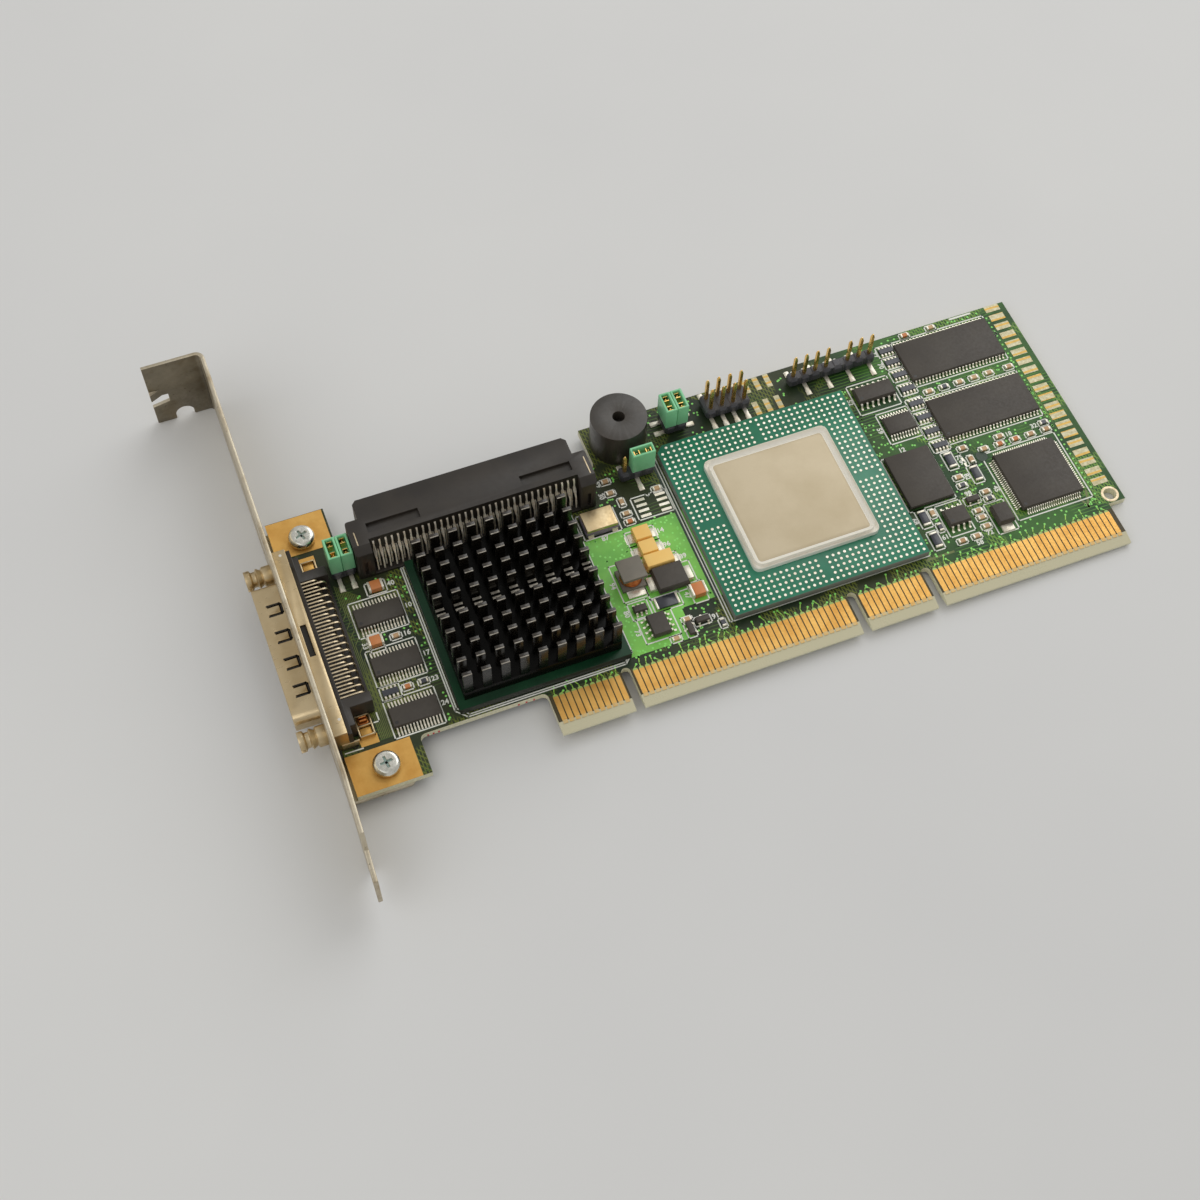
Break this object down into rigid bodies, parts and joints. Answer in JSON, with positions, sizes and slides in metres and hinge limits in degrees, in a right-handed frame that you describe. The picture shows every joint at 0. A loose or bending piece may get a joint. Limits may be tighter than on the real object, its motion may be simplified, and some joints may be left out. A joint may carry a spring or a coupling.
{
  "type": "raid controller card",
  "caption": "Half-length 64-bit storage controller card with a full-height slot bracket, a finned heat sink, a large lidded processor and two 68-position drive connectors.",
  "frame": {"origin": "lower left corner of the edge connector tongue, on the component face of the board", "axes": "+X along the edge connector away from the slot bracket, +Y from the edge connector to the top edge of the card, +Z out of the component face"},
  "size_m": [0.1815, 0.12, 0.0184],
  "materials": {
    "board": "green solder mask over fibreglass laminate",
    "bracket_plating": "worn nickel plated steel",
    "screw_plating": "zinc plated steel",
    "chip_black": "dark grey brown moulding compound",
    "buzzer_black": "black plastic",
    "capacitor_brown": "brown ceramic",
    "resistor_dark": "dark glazed resistor",
    "lead_tin": "tin plated",
    "controller_green": "green laminate substrate",
    "gold": "gold plated copper",
    "lock_copper": "bare copper alloy",
    "connector_black": "black glass filled plastic",
    "shell_plating": "nickel plated, warm",
    "header_black": "black plastic",
    "pin_gold": "gold flashed pins",
    "sink_black": "black anodised",
    "ferrite": "grey ferrite",
    "coil_copper": "enamelled copper wire",
    "jumper_mint": "mint green plastic",
    "ceramic_grey": "grey ceramic",
    "oscillator_gold": "gold plated lid",
    "solder": "solder",
    "lid_plating": "satin plated lid",
    "processor_green": "teal green laminate substrate",
    "small_part_grey": "small ceramic parts with plated ends",
    "capacitor_yellow": "yellow moulded case"
  },
  "bodies": {
    "root": {"board": "board", "bracket": "bracket_plating", "bracket_screws": "screw_plating", "buffer_chip": "chip_black", "buzzer": "buzzer_black", "ceramic_capacitors": "capacitor_brown", "chip_resistors": "resistor_dark", "component_end_caps": "lead_tin", "controller_substrate": "controller_green", "driver_chip": "chip_black", "edge_contacts": "gold", "external_connector_board_locks": "lock_copper", "external_connector_body": "connector_black", "external_connector_leads": "lead_tin", "external_connector_shell": "shell_plating", "flash_chip": "chip_black", "ground_pads": "gold", "header_bases": "header_black", "header_pins": "pin_gold", "heat_sink": "sink_black", "inductor_core": "ferrite", "inductor_winding": "coil_copper", "internal_connector_body": "connector_black", "internal_connector_leads": "lead_tin", "jack_posts": "shell_plating", "jumper_cap_1": "jumper_mint", "jumper_cap_2": "jumper_mint", "jumper_cap_3": "jumper_mint", "jumper_cap_4": "jumper_mint", "jumper_cap_5": "jumper_mint", "logic_chip": "chip_black", "logic_chip_leads": "lead_tin", "memory_chip_1": "chip_black", "memory_chip_2": "chip_black", "memory_chip_leads": "lead_tin", "oscillator_base": "ceramic_grey", "oscillator_lid": "oscillator_gold", "package_solder_balls": "solder", "power_part_terminals": "lead_tin", "processor_lid": "lid_plating", "processor_substrate": "processor_green", "protection_diode": "chip_black", "rectifier_body": "chip_black", "regulator_chip": "chip_black", "resistor_arrays": "resistor_dark", "settings_memory_chip": "chip_black", "small_chip_components": "small_part_grey", "small_chip_leads": "lead_tin", "spare_header_pads": "gold", "switch_chip": "chip_black", "terminator_chip_1": "chip_black", "terminator_chip_2": "chip_black", "terminator_chip_3": "chip_black", "terminator_chip_leads": "lead_tin", "test_pads": "gold", "transistors": "chip_black", "yellow_capacitors": "capacitor_yellow"}
  },
  "joints": []
}
